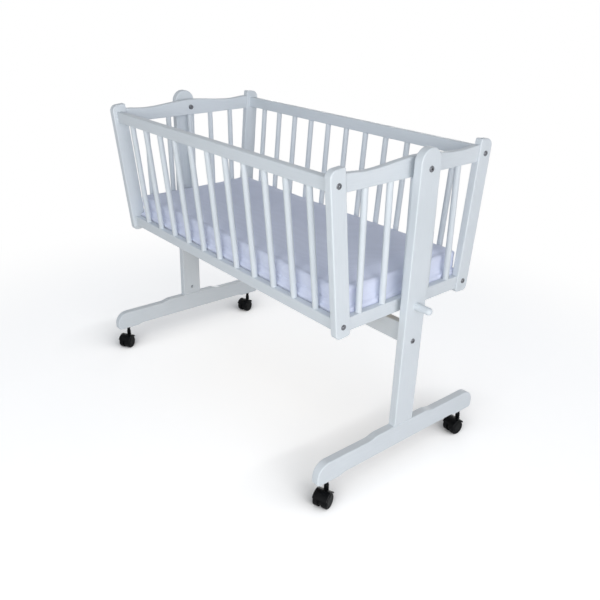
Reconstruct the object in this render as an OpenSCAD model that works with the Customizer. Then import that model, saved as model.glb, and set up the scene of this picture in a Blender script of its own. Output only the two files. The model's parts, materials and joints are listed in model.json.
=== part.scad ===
// Swinging cradle on a castered stand. Millimetres, +Z up, floor at Z = 0.
// "Near" is the +X end with the lock peg, "far" the -X end, "front" the -Y side, "back" the +Y side.

/* [Basket] */
// Length of the four long side rails, between the corner posts
side_rail_len = 900; // [840:10:960]
// Lean of the long sides from upright, in degrees
lean = 5.1; // [3:0.1:7]
// Swing of the basket about its pivots, from level, in degrees
swing = 1.4; // [-15:0.1:15]
// How far outside the mattress's sides the lower corner bolts lie
bolt_room = 5; // [5:0.5:9]
// Distance between the two bolts of a corner post, along the post
bolt_rise = 317; // [300:1:330]
// Width of a corner post
post_w = 42; // [40:1:48]
// Thickness of a corner post
post_t = 20; // [19:1:24]
// Length of a corner post above its upper bolt
post_above = 34; // [30:1:40]
// Length of a corner post below its lower bolt
post_below = 28; // [24:1:34]
// Thickness of the long side rails
rail_t = 18; // [18:1:22]
// How far the middle of the long side rails lies outside the line of the corner bolts
rail_out = 1.5; // [0:0.5:2]
// Height of the long side rails
rail_h = 30; // [28:1:34]
// Thickness of the end rails
end_rail_t = 17; // [16:0.5:18]
// Height of the lower end rails
low_end_rail_h = 33; // [32:1:36]
// Height of the upper end rails at their lowest points
top_end_rail_h = 35; // [32:1:38]
// Rise of the middle of the upper end rails above those points
wave_rise = 10; // [6:1:14]
// Rise of the ends of the upper end rails above those points
wave_end_rise = 4; // [2:0.5:6]

/* [Spindles] */
// Diameter of every round spindle
spindle_d = 15; // [12:1:16]
// Spindles in each long side
side_spindle_count = 11; // [9:1:12]
// Spindles in each end
end_spindle_count = 5; // [4:1:6]
// Gap between the outermost end spindles and the corner posts, at the lower rail
end_spindle_gap = 28; // [20:1:40]

/* [Bed] */
// Thickness of the base board
board_t = 6; // [4:1:8]
// Width of the battens that carry the base board
batten_w = 16; // [12:1:20]
// Height of those battens
batten_h = 16; // [12:1:18]
// Widest width of the mattress
mattress_w = 398; // [380:2:440]
// Thickness of the mattress at its edges
mattress_t = 68; // [60:1:80]
// Height of the mattress's crown above its edges
mattress_crown = 5; // [3:0.5:8]
// Height of the sewn seam above the mattress's underside
seam_h = 30; // [26:1:36]

/* [Stand] */
// Height of the top of an upright above the floor
upright_top_z = 807; // [760:1:860]
// Width of an upright
upright_w = 64; // [56:1:72]
// Thickness of an upright and of a foot
upright_t = 22; // [20:1:26]
// Distance of the swing axis below the top of an upright
pivot_drop = 45; // [39:1:55]
// Gap between a corner post's outer face and the upright beside it
swing_gap = 12; // [11:1:16]
// Length of a foot
foot_len = 560; // [520:5:640]
// Height of a foot at its pads
foot_h = 56; // [54:1:64]
// Rise of a foot's middle above its ends
hump_rise = 6; // [4:1:8]
// Rise of a foot's underside between its pads
arch_rise = 5; // [3:1:8]
// Height of the stretcher board
stretcher_h = 50; // [48:1:60]
// Thickness of the stretcher board
stretcher_t = 20; // [18:1:26]
// Distance of the stretcher's bolt below the swing axis
stretcher_drop = 406; // [400:1:422]

/* [Lock peg] */
// Diameter of the lock peg
peg_d = 18; // [14:1:18]
// Length of the peg outside the upright
peg_out = 45; // [35:1:60]
// Height of the peg above the lower corner bolts
peg_lift = 5; // [2:0.5:5]

/* [Casters] */
// Diameter of a caster wheel
wheel_d = 40; // [36:1:41]
// Height of a caster, from the floor to the foot
caster_h = 66; // [64:1:72]
// Trail of a caster's axle behind its stem
caster_trail = 15; // [13:0.5:15]
// Distance of a caster's stem from the end of the foot
caster_inset = 38; // [37:1:50]
// Direction in which the near front caster trails, in degrees from +X
near_front_trail = 291; // [0:1:359]
// Direction in which the near back caster trails, in degrees from +X
near_back_trail = 266; // [0:1:359]
// Direction in which the far front caster trails, in degrees from +X
far_front_trail = 303; // [270:1:330]
// Direction in which the far back caster trails, in degrees from +X
far_back_trail = 288; // [270:1:330]

/* [Fasteners] */
// Diameter of the connector bolts
bolt_d = 6; // [5:0.5:6]
// Diameter of the heads of the connector bolts
bolt_head_d = 13; // [11:1:15]
// Diameter of the barrel nuts
barrel_d = 10; // [9:0.5:10]
// Diameter of the pivot bolts
pivot_d = 8; // [7:0.5:9]

/* [Hidden] */
$fn = 96;

// Ends and sides, as signs along X and Y
near = 1;
far = -1;
front = -1;
back = 1;
ENDS = [near, far];
SIDES = [front, back];

// Colours
paint = "#e4e8ec";
fabric = "#b9bedb";
steel = "#8b9096";
black = "#17181a";
wood = "#caa878";

// Clearances: a running fit, a glued or knocked-in fit, and a small slip against the eye
run_fit = 0.05;
set_fit = 0.1;
face_slip = 0.3;
cut_over = 1;

// Basket layout
pivot_z = upright_top_z - pivot_drop;
half_low = mattress_w / 2 + bolt_room;
inner_x = side_rail_len / 2;
outer_x = inner_x + post_t;
top_bolt_drop = 5.5;
top_bolt_z = pivot_z - top_bolt_drop;
low_bolt_z = top_bolt_z - bolt_rise * cos(lean);
end_rail_recess = post_t - end_rail_t;
end_rail_x = outer_x - end_rail_recess;
end_spindle_x = inner_x + end_rail_t / 2;
side_spindle_pitch = (side_rail_len - side_spindle_count * spindle_d) / (side_spindle_count + 1) + spindle_d;
spindle_r = spindle_d / 2;
spindle_wall = 1;
end_spindle_r = min(spindle_r, end_rail_t / 2 - spindle_wall);
spindle_tenon = 12;
edge_r = 3;
top_rail_drop = 23;
top_rail_bottom_z = pivot_z - top_rail_drop;
top_rail_dip_z = top_rail_bottom_z + top_end_rail_h;
wave_dip_y = 150;
low_rail_bottom_z = low_bolt_z - low_end_rail_h / 2;
low_rail_top_z = low_rail_bottom_z + low_end_rail_h;
post_crown_r = 18;
post_inner_r = 4;
post_toe_r = 13;
post_heel_r = 8;

// Bed layout
board_lift = 6;
board_z = low_bolt_z + board_lift;
board_gap = 1.2;
board_end_gap = 2;
mattress_z = board_z + board_t;
mattress_end_gap = 5;
mattress_half_x = inner_x - mattress_end_gap;
mattress_corner_r = 14;
mattress_waist = 3;
least_corner_r = 6;

// Stand layout
upright_in_x = outer_x + swing_gap;
upright_out_x = upright_in_x + upright_t;
upright_mid_x = upright_in_x + upright_t / 2;
upright_r = upright_w / 2;
foot_half = foot_len / 2;
caster_y = foot_half - caster_inset;
foot_top_z = caster_h + foot_h;
hump_z = foot_top_z + hump_rise;
arch_z = caster_h + arch_rise;
hump_beside = 52;
hump_flat_y = upright_r + hump_beside;
hump_run = 32;
pad_len = 65;
pad_y = foot_half - pad_len;
arch_run = 25;
foot_toe_r = 36;
foot_heel_r = 10;
stretcher_bolt_z = pivot_z - stretcher_drop;
stretcher_bolt_lift = 13;
stretcher_bottom_z = stretcher_bolt_z - stretcher_bolt_lift;

// Fasteners
bolt_r = bolt_d / 2;
bolt_hole_r = bolt_r + 0.2;
bolt_head_h = 2;
socket_r = 2.3;
socket_depth = 3.5;
corner_bolt_len = 60;
barrel_r = barrel_d / 2;
barrel_len = 16;
barrel_inset = 32;
pivot_r = pivot_d / 2;
pivot_head_d = 14;
pivot_head_h = 2.5;
bush_r = 6;
spacer_r = 9;
washer_r = 7;
washer_t = 1;
nut_h = 5;
nut_r = 6.5;
nut_wall = 2.5;
nut_socket = 1.5;
nut_bevel = 1;
stretcher_bolt_len = 70;
stretcher_barrel_inset = 36;
foot_bolt_seat = 15;
foot_bolt_head_h = 4;
foot_barrel_lift = 26;
foot_barrel_depth = 18;
dowel_r = 4;
dowel_half = 20;
stretcher_dowel_half = 15;
foot_dowel_y = 20;
stretcher_dowel_lift = 22;
foot_nut_len = 14;

// Lock peg
peg_r = peg_d / 2;
peg_z = low_bolt_z + peg_lift;
peg_hole_r = peg_r + 0.3;
peg_inset = 1;

// Casters
wheel_r = wheel_d / 2;
wheel_in = 5;
wheel_out = 19;
wheel_round = 4;
wheel_groove_r = 12.5;
wheel_groove_w = 1.6;
wheel_groove_depth = 1;
web_half = wheel_in - face_slip;
web_inset = 3.5;
web_r = wheel_r - web_inset;
fender_gap = 1;
fender_t = 2.5;
fender_in_r = wheel_r + fender_gap;
fender_out_r = fender_in_r + fender_t;
fender_half = 18.5;
fender_rear = 25;
fender_front = 150;
fender_step = 2;
axle_r = 3;
axle_half = 16;
axle_bore_depth = 12;
boss_r = 6;
arm_half = 5;
boss_z = wheel_d - 2;
boss_top_z = caster_h - 14;
boss_cone_h = 2;
neck_r = 4.75;
flange_h = 5;
flange_low_r = 5;
flange_top_r = 8;
neck_gap = 0.4;
stem_r = 3.5;
stem_z = boss_z - 2;
sleeve_r = 5.5;
sleeve_len = 30;
stem_top_gap = 2;

// The middle of the whole object along X: the peg sticks out at one end, a caster at the other
function wheel_reach(dir) = (wheel_out - wheel_round) * abs(sin(dir))
    + (wheel_r - wheel_round) * cos(dir) + wheel_round - caster_trail * cos(dir);
function fender_reach(dir) = fender_half * abs(sin(dir))
    - (fender_out_r * cos(fender_front) + caster_trail) * cos(dir);
far_end_x = upright_mid_x + max([for (dir = [far_front_trail, far_back_trail])
    max(wheel_reach(dir), fender_reach(dir))]);
near_end_x = upright_out_x + peg_out;
centre_shift = (far_end_x - near_end_x) / 2;

// Half width of the basket at height z, at the bolts and at the inner face of a side rail
function bolt_line_y(z) = half_low + (z - low_bolt_z) * tan(lean);
function rail_inner_y(z) = bolt_line_y(z) + (rail_out - rail_t / 2) / cos(lean);
function post_inner_y(z) = bolt_line_y(z) - post_w / 2 / cos(lean);

// A smooth step from 0 to 1 as t runs from 0 to 1
function ease(t) = 0.5 - 0.5 * cos(180 * min(max(t, 0), 1));

// ---------- Placing ----------

// Everything in the object's own frame
module placed() translate([centre_shift, 0, 0]) children();

// Everything in the basket, swung about the line of its pivots
module swung() placed() translate([0, 0, pivot_z]) rotate([swing, 0, 0]) translate([0, 0, -pivot_z]) children();

// Drawn at the near end, or mirrored to the far end
module at_end(end) {
    if (end == near) children();
    else mirror([1, 0, 0]) children();
}

// The leaning plane of a side: X along the side, Y outward through its thickness,
// Z up along the lean, from the line of the lower corner bolts
module back_lean() translate([0, half_low, low_bolt_z]) rotate([-lean, 0, 0]) children();
module leaning(side) {
    if (side == back) back_lean() children();
    else mirror([0, 1, 0]) back_lean() children();
}

// A flat outline drawn in Y and Z, made a board from x0 to x0 + t
module board_yz(x0, t) translate([x0, 0, 0]) rotate([90, 0, 90]) linear_extrude(t) children();

// A round bar along X, from x0 to x0 + len
module rod_x(x0, len, r) translate([x0, 0, 0]) rotate([0, 90, 0]) cylinder(h = len, r = r);

// What bores a board right through along X, the board lying from x0 to x0 + len
module bore_x(x0, len, r) rod_x(x0 - cut_over, len + 2 * cut_over, r);

// ---------- Flat outlines ----------

// What rounds off a corner at (x, y) that points towards (sx, sy)
module corner_cut(x, y, sx, sy, r) {
    translate([x, y]) difference() {
        translate([sx > 0 ? -r : -cut_over, sy > 0 ? -r : -cut_over]) square(r + cut_over);
        translate([-sx * r, -sy * r]) circle(r);
    }
}

module round_rect(w, h, r) {
    difference() {
        square([w, h], center = true);
        for (sx = [-1, 1], sy = [-1, 1]) corner_cut(sx * w / 2, sy * h / 2, sx, sy, r);
    }
}

// ---------- Basket ----------

module post_outline() {
    low = -post_below;
    high = bolt_rise + post_above;
    difference() {
        translate([-post_w / 2, low]) square([post_w, high - low]);
        corner_cut(post_w / 2, high, 1, 1, post_crown_r);
        corner_cut(-post_w / 2, high, -1, 1, post_inner_r);
        corner_cut(post_w / 2, low, 1, -1, post_toe_r);
        corner_cut(-post_w / 2, low, -1, -1, post_heel_r);
    }
}

module post(end, side) {
    color(paint) swung() at_end(end) leaning(side) difference() {
        board_yz(inner_x, post_t) post_outline();
        for (z = [0, bolt_rise]) translate([0, 0, z]) bore_x(inner_x, post_t, bolt_hole_r);
    }
}

// A long rail between two posts: edges rounded, bored for spindles on the face that looks at the other rail
module side_rail(side, z, spindle_face) {
    color(paint) swung() leaning(side) translate([0, 0, z]) difference() {
        translate([0, rail_out, 0]) board_yz(-inner_x, side_rail_len) round_rect(rail_t, rail_h, edge_r);
        for (x = side_spindle_xs()) translate([x, rail_out, spindle_face * (rail_h / 2 - spindle_tenon)])
            rotate([spindle_face > 0 ? 0 : 180, 0, 0])
                cylinder(h = spindle_tenon + cut_over, r = spindle_r + run_fit);
        for (end = ENDS) at_end(end) {
            rod_x(outer_x - corner_bolt_len - set_fit, corner_bolt_len, bolt_hole_r);
            translate([inner_x - barrel_inset, 0, -rail_h / 2 - cut_over])
                cylinder(h = rail_h / 2 + barrel_len / 2 + set_fit + cut_over, r = barrel_r + run_fit);
        }
    }
}

// The clear gaps are all alike, those beside the posts too
function side_spindle_xs() = [for (i = [1 : side_spindle_count])
    (i - (side_spindle_count + 1) / 2) * side_spindle_pitch];
outer_spindle_y = post_inner_y(low_rail_top_z) - end_spindle_gap - end_spindle_r;
function end_spindle_ys() = [for (i = [0 : end_spindle_count - 1])
    outer_spindle_y * (2 * i / (end_spindle_count - 1) - 1)];

module side_spindles(side) {
    low = rail_h / 2 - spindle_tenon;
    color(paint) swung() leaning(side) for (x = side_spindle_xs())
        translate([x, rail_out, low]) cylinder(h = bolt_rise - 2 * low, r = spindle_r);
}

// The upper edge of an upper end rail at y: a hump in the middle, a dip either side, ends that rise again
function wave_z(y) = top_rail_dip_z + (abs(y) < wave_dip_y
    ? wave_rise * ease(1 - abs(y) / wave_dip_y)
    : wave_end_rise * ease((abs(y) - wave_dip_y) / (post_inner_y(top_rail_dip_z) - wave_dip_y)));

module top_end_outline() {
    low_y = post_inner_y(top_rail_bottom_z);
    high_y = post_inner_y(top_rail_dip_z + wave_end_rise);
    steps = 60;
    polygon(concat([[low_y, top_rail_bottom_z]],
        [for (i = [0 : steps]) let (y = high_y * (1 - 2 * i / steps)) [y, wave_z(y)]],
        [[-low_y, top_rail_bottom_z]]));
}

module top_end_rail(end) {
    color(paint) swung() at_end(end) difference() {
        board_yz(inner_x, end_rail_t) top_end_outline();
        translate([0, 0, pivot_z]) bore_x(inner_x, end_rail_t, bush_r);
        end_spindle_bores(top_rail_bottom_z - cut_over);
    }
}

module low_end_rail(end) {
    low_y = post_inner_y(low_rail_bottom_z);
    high_y = post_inner_y(low_rail_top_z);
    color(paint) swung() at_end(end) difference() {
        board_yz(inner_x, end_rail_t) polygon([[-low_y, low_rail_bottom_z], [low_y, low_rail_bottom_z],
            [high_y, low_rail_top_z], [-high_y, low_rail_top_z]]);
        end_spindle_bores(low_rail_top_z - spindle_tenon);
        if (end == near) translate([0, 0, peg_z]) bore_x(inner_x, end_rail_t, peg_hole_r);
    }
}

module end_spindle_bores(z) {
    for (y = end_spindle_ys()) translate([end_spindle_x, y, z])
        cylinder(h = spindle_tenon + cut_over, r = end_spindle_r + run_fit);
}

// The middle spindle stops short of the peg's hole and of the pivot's bush
function end_spindle_low(end, y) = end == near && y == 0
    ? peg_z + peg_hole_r + face_slip
    : low_rail_top_z - spindle_tenon;

module end_spindles(end) {
    color(paint) swung() at_end(end) for (y = end_spindle_ys())
        translate([end_spindle_x, y, end_spindle_low(end, y)])
            cylinder(h = top_rail_bottom_z + spindle_tenon - end_spindle_low(end, y), r = end_spindle_r);
}

// ---------- Bed ----------

module base_board() {
    half_y = rail_inner_y(board_z) - board_gap;
    half_x = inner_x - board_end_gap;
    color(wood) swung() translate([-half_x, -half_y, board_z]) cube([2 * half_x, 2 * half_y, board_t]);
}

// A batten glued along the inner face of a lower side rail, level on top for the base board
module batten(side) {
    low = board_z - batten_h;
    half_x = inner_x - board_end_gap;
    in_y = rail_inner_y(low) - batten_w;
    color(wood) swung() board_yz(-half_x, 2 * half_x) polygon([
        [side * in_y, low], [side * rail_inner_y(low), low],
        [side * rail_inner_y(board_z), board_z], [side * in_y, board_z]]);
}

// The mattress is a stack of rounded rectangles, each [inset from the widest outline, height]:
// a rolled lower edge, a lower band that widens, the sewn seam, an upper band, a rolled edge and the crown
mattress_gap = 2.5;
low_inset = mattress_w / 2 - rail_inner_y(mattress_z) + mattress_gap;
low_roll_r = 7;
low_roll_steps = 3;
belly_share = 0.55;
belly_h = 13;
seam_depth = 2.5;
seam_half = 4;
seam_flat = 0.8;
roll_r = 9;
roll_steps = 3;
crown_steps = 4;
mattress_rows = concat(
    [for (i = [0 : low_roll_steps]) let (a = 90 * i / low_roll_steps)
        [low_inset + low_roll_r * (1 - sin(a)), low_roll_r * (1 - cos(a))]],
    [[low_inset * belly_share, belly_h], [0, seam_h - seam_half]],
    [[seam_depth, seam_h - seam_flat], [seam_depth, seam_h + seam_flat], [0, seam_h + seam_half]],
    [for (i = [0 : roll_steps]) let (a = 90 * i / roll_steps)
        [roll_r * (1 - cos(a)), mattress_t - roll_r * (1 - sin(a))]],
    [for (i = [1 : crown_steps]) let (t = i / (crown_steps + 1))
        [roll_r + t * (mattress_w / 2 - roll_r), mattress_t + mattress_crown * sin(90 * t)]]
);
corner_points = 6;
long_points = 10;
short_points = 5;

// Points between a and b, both left out
function between(a, b, n) = [for (i = [1 : n]) a + (b - a) * i / (n + 1)];

// One rounded rectangle of half sizes hx and hy, with its corners drawn as arcs of radius r
function corner_arc(hx, hy, r, quarter) = [for (k = [0 : corner_points - 1])
    let (a = 90 * (quarter + k / (corner_points - 1)),
         cx = (hx - r) * (quarter == 0 || quarter == 3 ? 1 : -1),
         cy = (hy - r) * (quarter < 2 ? 1 : -1))
    [cx + r * cos(a), cy + r * sin(a)]];
function plan(hx, hy, r) = let (
    arcs = [for (q = [0 : 3]) corner_arc(hx, hy, r, q)],
    last = corner_points - 1)
    [for (q = [0 : 3]) each concat(arcs[q],
        between(arcs[q][last], arcs[(q + 1) % 4][0], q % 2 == 0 ? long_points : short_points))];

// The sides draw in between the corners
function waisted(p, hx, hy) = [
    p[0] * (1 - mattress_waist / hx * (1 - pow(p[1] / hy, 2))),
    p[1] * (1 - mattress_waist / hy * (1 - pow(p[0] / hx, 2)))];
function mattress_ring(row) = let (
    hx = mattress_half_x - row[0],
    hy = mattress_w / 2 - row[0],
    r = max(mattress_corner_r - row[0], least_corner_r))
    [for (p = plan(hx, hy, r)) let (w = waisted(p, hx, hy)) [w[0], w[1], row[1]]];

module mattress() {
    rings = [for (row = mattress_rows) mattress_ring(row)];
    count = len(rings[0]);
    rows = len(rings);
    points = concat([for (ring = rings) each ring], [[0, 0, 0], [0, 0, mattress_t + mattress_crown]]);
    low_centre = rows * count;
    high_centre = low_centre + 1;
    walls = [for (r = [0 : rows - 2], i = [0 : count - 1]) let (
        j = (i + 1) % count, a = r * count + i, b = r * count + j, c = a + count, d = b + count)
        each [[a, c, b], [b, c, d]]];
    base = [for (i = [0 : count - 1]) [low_centre, i, (i + 1) % count]];
    last_ring = (rows - 1) * count;
    crown = [for (i = [0 : count - 1]) [high_centre, last_ring + (i + 1) % count, last_ring + i]];
    color(fabric) swung() translate([0, 0, mattress_z]) polyhedron(points, concat(walls, base, crown));
}

// ---------- Fasteners ----------

// A connector bolt along X: its flat head is outside x, its shank runs inward
module bolt_x(x, len, r, head_r, head_h) {
    difference() {
        union() {
            rod_x(x - len, len, r);
            translate([x, 0, 0]) rotate([0, 90, 0]) rotate_extrude() polygon([
                [0, 0], [head_r, 0], [head_r, head_h / 2], [head_r - head_h / 2, head_h], [0, head_h]]);
        }
        translate([x + head_h - socket_depth, 0, 0]) rotate([0, 90, 0])
            cylinder(h = socket_depth + cut_over, r = socket_r, $fn = 6);
    }
}

module corner_bolts() {
    color(steel) swung() for (end = ENDS, side = SIDES, z = [0, bolt_rise])
        at_end(end) leaning(side) translate([0, 0, z])
            bolt_x(outer_x, corner_bolt_len, bolt_r, bolt_head_d / 2, bolt_head_h);
}

// A barrel nut standing on its end, tapped along X
module barrel_nut(len) {
    difference() {
        cylinder(h = len, r = barrel_r, center = true);
        rod_x(-barrel_d, 2 * barrel_d, bolt_r);
    }
}

module corner_barrel_nuts() {
    color(steel) swung() for (end = ENDS, side = SIDES, z = [0, bolt_rise])
        at_end(end) leaning(side) translate([inner_x - barrel_inset, 0, z]) barrel_nut(barrel_len);
}

module tube_x(x0, len, r, hole_r) {
    difference() {
        rod_x(x0, len, r);
        bore_x(x0, len, hole_r);
    }
}

module at_pivots() placed() for (end = ENDS) at_end(end) translate([0, 0, pivot_z]) children();

module pivot_bushes() color(steel) at_pivots() tube_x(inner_x, end_rail_t, bush_r, pivot_r + run_fit);

washer_x = inner_x - face_slip - washer_t;
nut_x = washer_x - nut_h;

module pivot_bolts() color(steel) at_pivots()
    bolt_x(upright_out_x, upright_out_x - nut_x - nut_wall, pivot_r, pivot_head_d / 2, pivot_head_h);

module pivot_spacers() color(steel) at_pivots()
    tube_x(end_rail_x + face_slip, upright_in_x - end_rail_x - face_slip, spacer_r, pivot_r);

module pivot_washers() color(steel) at_pivots() tube_x(washer_x, washer_t, washer_r, pivot_r);

// A round cap nut, closed on the inside of the basket, with a hexagon socket in its cap
module pivot_nuts() color(steel) at_pivots() difference() {
    translate([nut_x, 0, 0]) rotate([0, 90, 0]) rotate_extrude() polygon([
        [0, 0], [nut_r - nut_bevel, 0], [nut_r, nut_bevel], [nut_r, nut_h], [0, nut_h]]);
    rod_x(nut_x + nut_wall, nut_h, pivot_r);
    translate([nut_x - cut_over, 0, 0]) rotate([0, 90, 0])
        cylinder(h = nut_socket + cut_over, r = socket_r, $fn = 6);
}

// ---------- Stand ----------

foot_barrel_z = hump_z + foot_barrel_lift;
foot_bolt_seat_z = arch_z + foot_bolt_seat;
stretcher_dowel_z = stretcher_bolt_z + stretcher_dowel_lift;

module upright(end) {
    color(paint) placed() at_end(end) difference() {
        board_yz(upright_in_x, upright_t) union() {
            translate([-upright_r, hump_z]) square([upright_w, upright_top_z - upright_r - hump_z]);
            translate([0, upright_top_z - upright_r]) circle(upright_r);
        }
        translate([0, 0, pivot_z]) bore_x(upright_in_x, upright_t, pivot_r);
        translate([0, 0, stretcher_bolt_z]) bore_x(upright_in_x, upright_t, bolt_hole_r);
        translate([0, 0, stretcher_dowel_z])
            rod_x(upright_in_x - cut_over, stretcher_dowel_half + set_fit + cut_over, dowel_r);
        translate([0, 0, foot_barrel_z])
            rod_x(upright_in_x - cut_over, foot_barrel_depth + cut_over, barrel_r + run_fit);
        translate([upright_mid_x, 0, hump_z - cut_over])
            cylinder(h = foot_barrel_lift + barrel_r + 2 * cut_over, r = bolt_hole_r);
        for (s = SIDES) translate([upright_mid_x, s * foot_dowel_y, hump_z - cut_over])
            cylinder(h = dowel_half + set_fit + cut_over, r = dowel_r);
        if (end == near) translate([0, 0, peg_z]) bore_x(upright_in_x, upright_t, peg_r + run_fit);
    }
}

// Upper and lower edges of a foot at y
function foot_top(y) = foot_top_z + hump_rise * ease((hump_flat_y + hump_run - abs(y)) / hump_run);
function foot_bottom(y) = caster_h + arch_rise * ease((pad_y - abs(y)) / arch_run);

// Where the edges curve, from the middle out
curve_steps = 12;
function curve_ys(y0, run) = [for (i = [0 : curve_steps]) y0 + run * i / curve_steps];

module foot_outline() {
    top_ys = concat(curve_ys(hump_flat_y, hump_run), [foot_half]);
    bottom_ys = concat(curve_ys(pad_y - arch_run, arch_run), [foot_half]);
    last_top = len(top_ys) - 1;
    last_bottom = len(bottom_ys) - 1;
    difference() {
        polygon(concat(
            [for (y = bottom_ys) [y, foot_bottom(y)]],
            [for (i = [0 : last_top]) let (y = top_ys[last_top - i]) [y, foot_top(y)]],
            [for (y = top_ys) [-y, foot_top(y)]],
            [for (i = [0 : last_bottom]) let (y = bottom_ys[last_bottom - i]) [-y, foot_bottom(y)]]));
        for (s = [-1, 1]) {
            corner_cut(s * foot_half, foot_top_z, s, 1, foot_toe_r);
            corner_cut(s * foot_half, caster_h, s, -1, foot_heel_r);
        }
    }
}

module foot(end) {
    color(paint) placed() at_end(end) difference() {
        board_yz(upright_in_x, upright_t) foot_outline();
        translate([upright_mid_x, 0, arch_z - cut_over]) cylinder(h = hump_z, r = bolt_hole_r);
        translate([upright_mid_x, 0, arch_z - cut_over])
            cylinder(h = foot_bolt_seat + cut_over, r = bolt_head_d / 2 + set_fit);
        for (s = SIDES) {
            translate([upright_mid_x, s * foot_dowel_y, hump_z - dowel_half - set_fit])
                cylinder(h = dowel_half + set_fit + cut_over, r = dowel_r);
            translate([upright_mid_x, s * caster_y, caster_h - cut_over])
                cylinder(h = sleeve_len + cut_over + set_fit, r = sleeve_r);
        }
    }
}

module stretcher() {
    color(paint) placed() difference() {
        translate([0, 0, stretcher_bottom_z + stretcher_h / 2])
            board_yz(-upright_in_x, 2 * upright_in_x) round_rect(stretcher_t, stretcher_h, edge_r);
        for (end = ENDS) at_end(end) {
            translate([0, 0, stretcher_bolt_z])
                rod_x(upright_out_x - stretcher_bolt_len - cut_over, stretcher_bolt_len, bolt_hole_r);
            translate([upright_in_x - stretcher_barrel_inset, 0, stretcher_bottom_z - cut_over])
                cylinder(h = stretcher_bolt_lift + barrel_len / 2 + cut_over, r = barrel_r + run_fit);
            translate([0, 0, stretcher_dowel_z]) rod_x(upright_in_x - stretcher_dowel_half - set_fit,
                stretcher_dowel_half + cut_over, dowel_r);
        }
    }
}

module stretcher_bolts() {
    color(steel) placed() for (end = ENDS) at_end(end) translate([0, 0, stretcher_bolt_z])
        bolt_x(upright_out_x, stretcher_bolt_len, bolt_r, bolt_head_d / 2, bolt_head_h);
}

// A foot bolt stands on its head in the foot's underside and runs up into the upright
module foot_bolts() {
    top_z = foot_barrel_z + barrel_r + cut_over / 2;
    color(steel) placed() for (end = ENDS) at_end(end) translate([upright_mid_x, 0, 0]) difference() {
        union() {
            translate([0, 0, foot_bolt_seat_z]) cylinder(h = top_z - foot_bolt_seat_z, r = bolt_r);
            translate([0, 0, foot_bolt_seat_z - foot_bolt_head_h])
                cylinder(h = foot_bolt_head_h, r = bolt_head_d / 2 - set_fit);
        }
        translate([0, 0, foot_bolt_seat_z - foot_bolt_head_h - cut_over])
            cylinder(h = socket_depth + cut_over, r = socket_r, $fn = 6);
    }
}

module stand_barrel_nuts() {
    color(steel) placed() for (end = ENDS) at_end(end) {
        translate([upright_in_x - stretcher_barrel_inset, 0, stretcher_bolt_z]) barrel_nut(barrel_len);
        translate([upright_mid_x, 0, foot_barrel_z]) difference() {
            rotate([0, 90, 0]) cylinder(h = foot_nut_len, r = barrel_r, center = true);
            cylinder(h = 2 * barrel_d, r = bolt_r, center = true);
        }
    }
}

module stand_dowels() {
    color(wood) placed() for (end = ENDS) at_end(end) {
        translate([0, 0, stretcher_dowel_z])
            rod_x(upright_in_x - stretcher_dowel_half, 2 * stretcher_dowel_half, dowel_r);
        for (s = SIDES) translate([upright_mid_x, s * foot_dowel_y, hump_z - dowel_half])
            cylinder(h = 2 * dowel_half, r = dowel_r);
    }
}

// ---------- Lock peg ----------

module lock_peg() {
    x0 = upright_in_x + peg_inset;
    straight = upright_out_x + peg_out - peg_r - x0;
    color(paint) placed() translate([0, 0, peg_z]) rotate([0, 90, 0]) translate([0, 0, x0])
        rotate_extrude() union() {
            square([peg_r, straight]);
            intersection() {
                translate([0, straight]) circle(peg_r);
                translate([0, straight]) square(peg_r + cut_over);
            }
        }
}

// ---------- Casters ----------

// A caster's own frame: the stem on Z, the axle behind it along +X
module at_caster(end, side) {
    near_dir = side == front ? near_front_trail : near_back_trail;
    far_dir = side == front ? far_front_trail : far_back_trail;
    placed() translate([end * upright_mid_x, side * caster_y, 0])
        rotate([0, 0, end == near ? near_dir : far_dir]) children();
}

// An outline in X and Z, made a plate of half thickness half, centred on Y = 0
module plate_xz(half) rotate([90, 0, 0]) translate([0, 0, -half]) linear_extrude(2 * half) children();

// A slice of a disc between two angles, less than half a turn apart
module disc_slice(r, a0, a1) {
    reach = 2 * r;
    intersection() {
        circle(r);
        polygon([[0, 0], for (a = [a0, (a0 + a1) / 2, a1]) [reach * cos(a), reach * sin(a)]]);
    }
}

module hood_web_outline() {
    difference() {
        union() {
            translate([caster_trail, wheel_r]) circle(web_r);
            translate([caster_trail, wheel_r])
                disc_slice(fender_in_r + cut_over, fender_rear + fender_step, fender_front - fender_step);
            translate([-arm_half, wheel_r]) square([2 * arm_half, boss_z - wheel_r + cut_over]);
        }
        translate([caster_trail, wheel_r]) circle(axle_r);
    }
}

module fender_outline() {
    translate([caster_trail, wheel_r]) difference() {
        disc_slice(fender_out_r, fender_rear, fender_front);
        circle(fender_in_r);
    }
}

module hood_body() {
    neck_z = caster_h - flange_h - neck_gap;
    difference() {
        union() {
            plate_xz(web_half) hood_web_outline();
            plate_xz(fender_half) fender_outline();
            translate([0, 0, boss_z]) cylinder(h = boss_top_z - boss_z, r = boss_r);
            translate([0, 0, boss_top_z]) cylinder(h = boss_cone_h, r1 = boss_r, r2 = neck_r);
            translate([0, 0, boss_top_z]) cylinder(h = neck_z - boss_top_z, r = neck_r);
        }
        translate([0, 0, stem_z]) cylinder(h = caster_h, r = stem_r);
    }
}

module wheel_outline() {
    wide = wheel_out - wheel_in;
    difference() {
        union() {
            square([wheel_r, wide - wheel_round]);
            square([wheel_r - wheel_round, wide]);
            translate([wheel_r - wheel_round, wide - wheel_round]) circle(wheel_round);
        }
        translate([-cut_over, -cut_over]) square([axle_r + run_fit + cut_over, axle_bore_depth + cut_over]);
        translate([wheel_groove_r, wide - wheel_groove_depth])
            square([wheel_groove_w, wheel_groove_depth + cut_over]);
    }
}

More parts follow.
